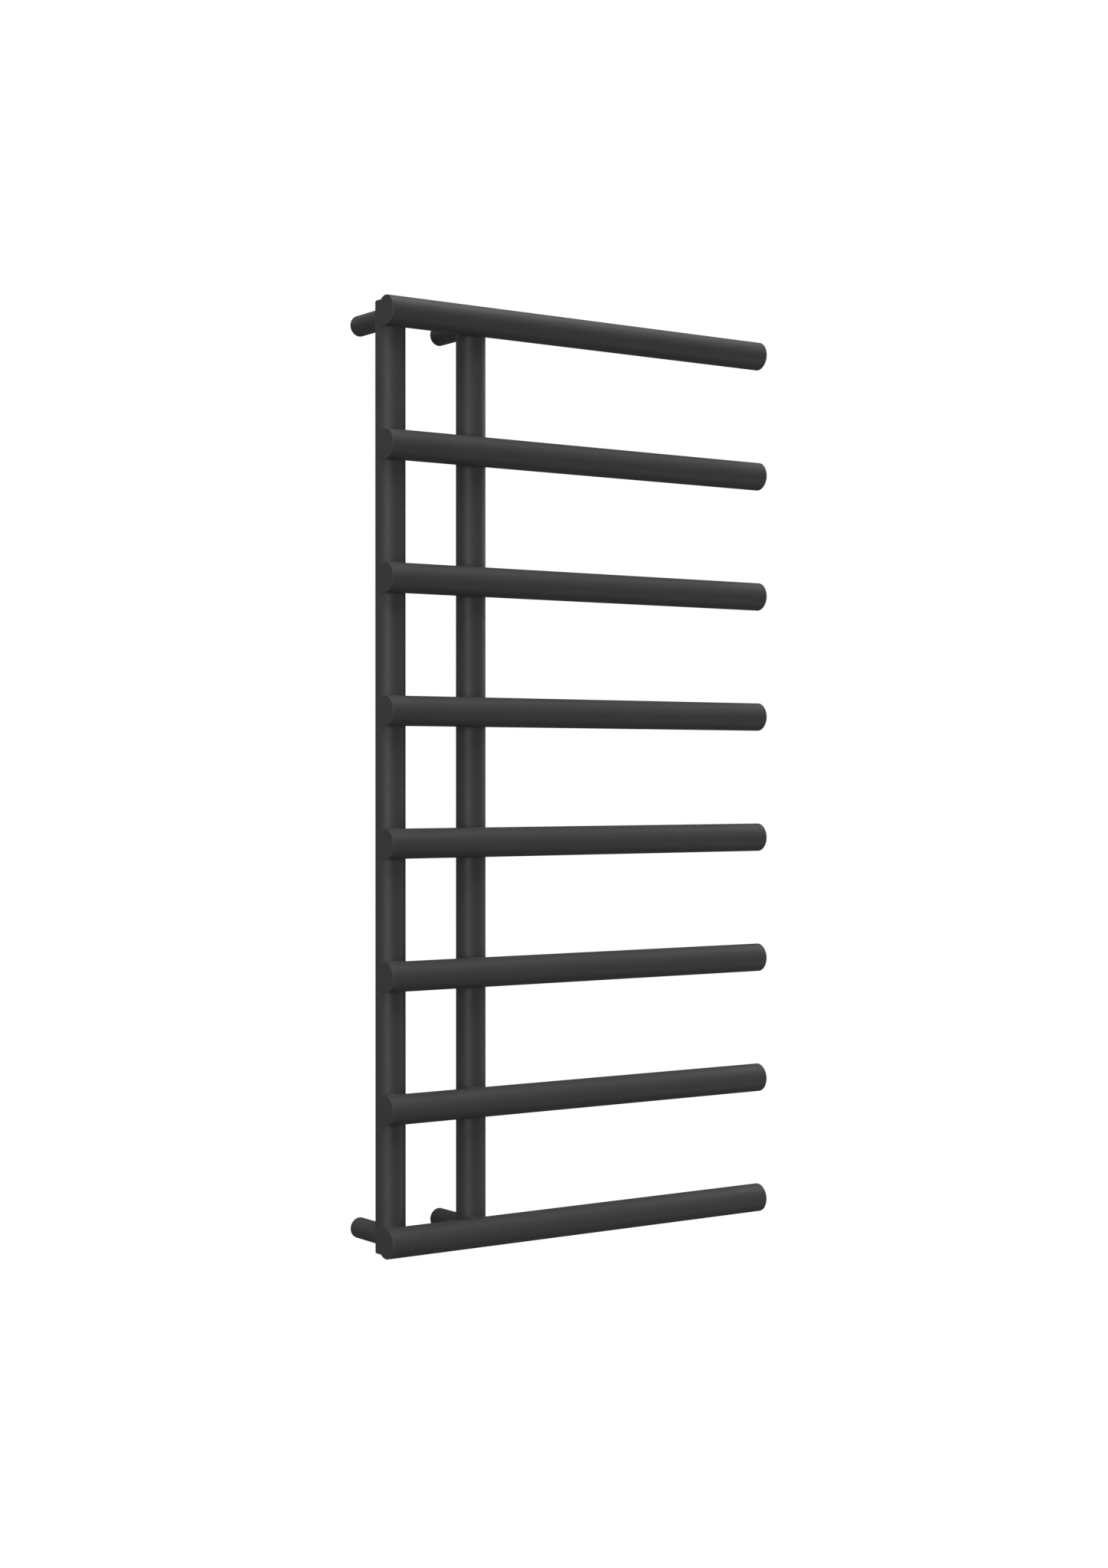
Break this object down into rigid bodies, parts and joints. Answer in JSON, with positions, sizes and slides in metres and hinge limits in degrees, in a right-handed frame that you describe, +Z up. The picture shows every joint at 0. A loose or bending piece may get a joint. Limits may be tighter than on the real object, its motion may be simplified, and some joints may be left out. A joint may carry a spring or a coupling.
{
  "type": "towel warmer rack",
  "caption": "Wall-hung open-ended towel warmer: a ladder of round bars cantilevered from a pair of tubular uprights at one end, held off the wall on sleeved stand-offs.",
  "frame": {"origin": "centre of the rectangle of four wall-screw holes, in the plane of the wall", "axes": "+X along the bars towards their open ends, +Y into the wall, +Z up along the uprights"},
  "size_m": [0.6, 0.117, 1.2],
  "materials": {
    "powder_coat": "satin dark grey powder coat with a very fine grain",
    "bare_steel": "cold-drawn mill finish",
    "black_steel": "black oxide",
    "zinc_plate": "bright zinc plate",
    "brass": "turned, dull",
    "seal_rubber": "moulded"
  },
  "bodies": {
    "wall_sockets": {"wall_socket_1": "zinc_plate", "wall_socket_2": "zinc_plate", "wall_socket_3": "zinc_plate", "wall_socket_4": "zinc_plate"},
    "rack": {"bar_1": "powder_coat", "bar_2": "powder_coat", "bar_3": "powder_coat", "bar_4": "powder_coat", "bar_5": "powder_coat", "bar_6": "powder_coat", "bar_7": "powder_coat", "bar_8": "powder_coat", "bar_cap_left_1": "powder_coat", "bar_cap_left_2": "powder_coat", "bar_cap_left_3": "powder_coat", "bar_cap_left_4": "powder_coat", "bar_cap_left_5": "powder_coat", "bar_cap_left_6": "powder_coat", "bar_cap_left_7": "powder_coat", "bar_cap_left_8": "powder_coat", "bar_cap_right_1": "powder_coat", "bar_cap_right_2": "powder_coat", "bar_cap_right_3": "powder_coat", "bar_cap_right_4": "powder_coat", "bar_cap_right_5": "powder_coat", "bar_cap_right_6": "powder_coat", "bar_cap_right_7": "powder_coat", "bar_cap_right_8": "powder_coat", "flow_tube_1": "bare_steel", "flow_tube_2": "bare_steel", "flow_tube_3": "bare_steel", "flow_tube_4": "bare_steel", "flow_tube_5": "bare_steel", "flow_tube_6": "bare_steel", "flow_tube_7": "bare_steel", "flow_tube_8": "bare_steel", "upright_left": "powder_coat", "upright_right": "powder_coat", "inlet_bush_left": "powder_coat", "inlet_bush_right": "powder_coat", "top_bush_left": "powder_coat", "top_bush_right": "powder_coat", "mounting_pin_1": "bare_steel", "mounting_pin_2": "bare_steel", "mounting_pin_3": "bare_steel", "mounting_pin_4": "bare_steel", "cover_sleeve_1": "powder_coat", "cover_sleeve_2": "powder_coat", "cover_sleeve_3": "powder_coat", "cover_sleeve_4": "powder_coat", "grub_screws": "black_steel", "air_vent_plug": "powder_coat", "air_vent_seal": "seal_rubber", "blanking_plug": "powder_coat", "blanking_plug_seal": "seal_rubber"},
    "vent_screw": {"air_vent_screw": "brass"}
  },
  "joints": [
    {"name": "depth_adjust", "type": "slide", "parent": "wall_sockets", "child": "rack", "axis": [0, -1, 0], "range_m": [0, 0.012]},
    {"name": "vent_turn", "type": "hinge", "parent": "rack", "child": "vent_screw", "pos_m": [-0.06, -0.077, 0.592], "axis": [0, 0, 1], "range_deg": [0, 360]}
  ]
}
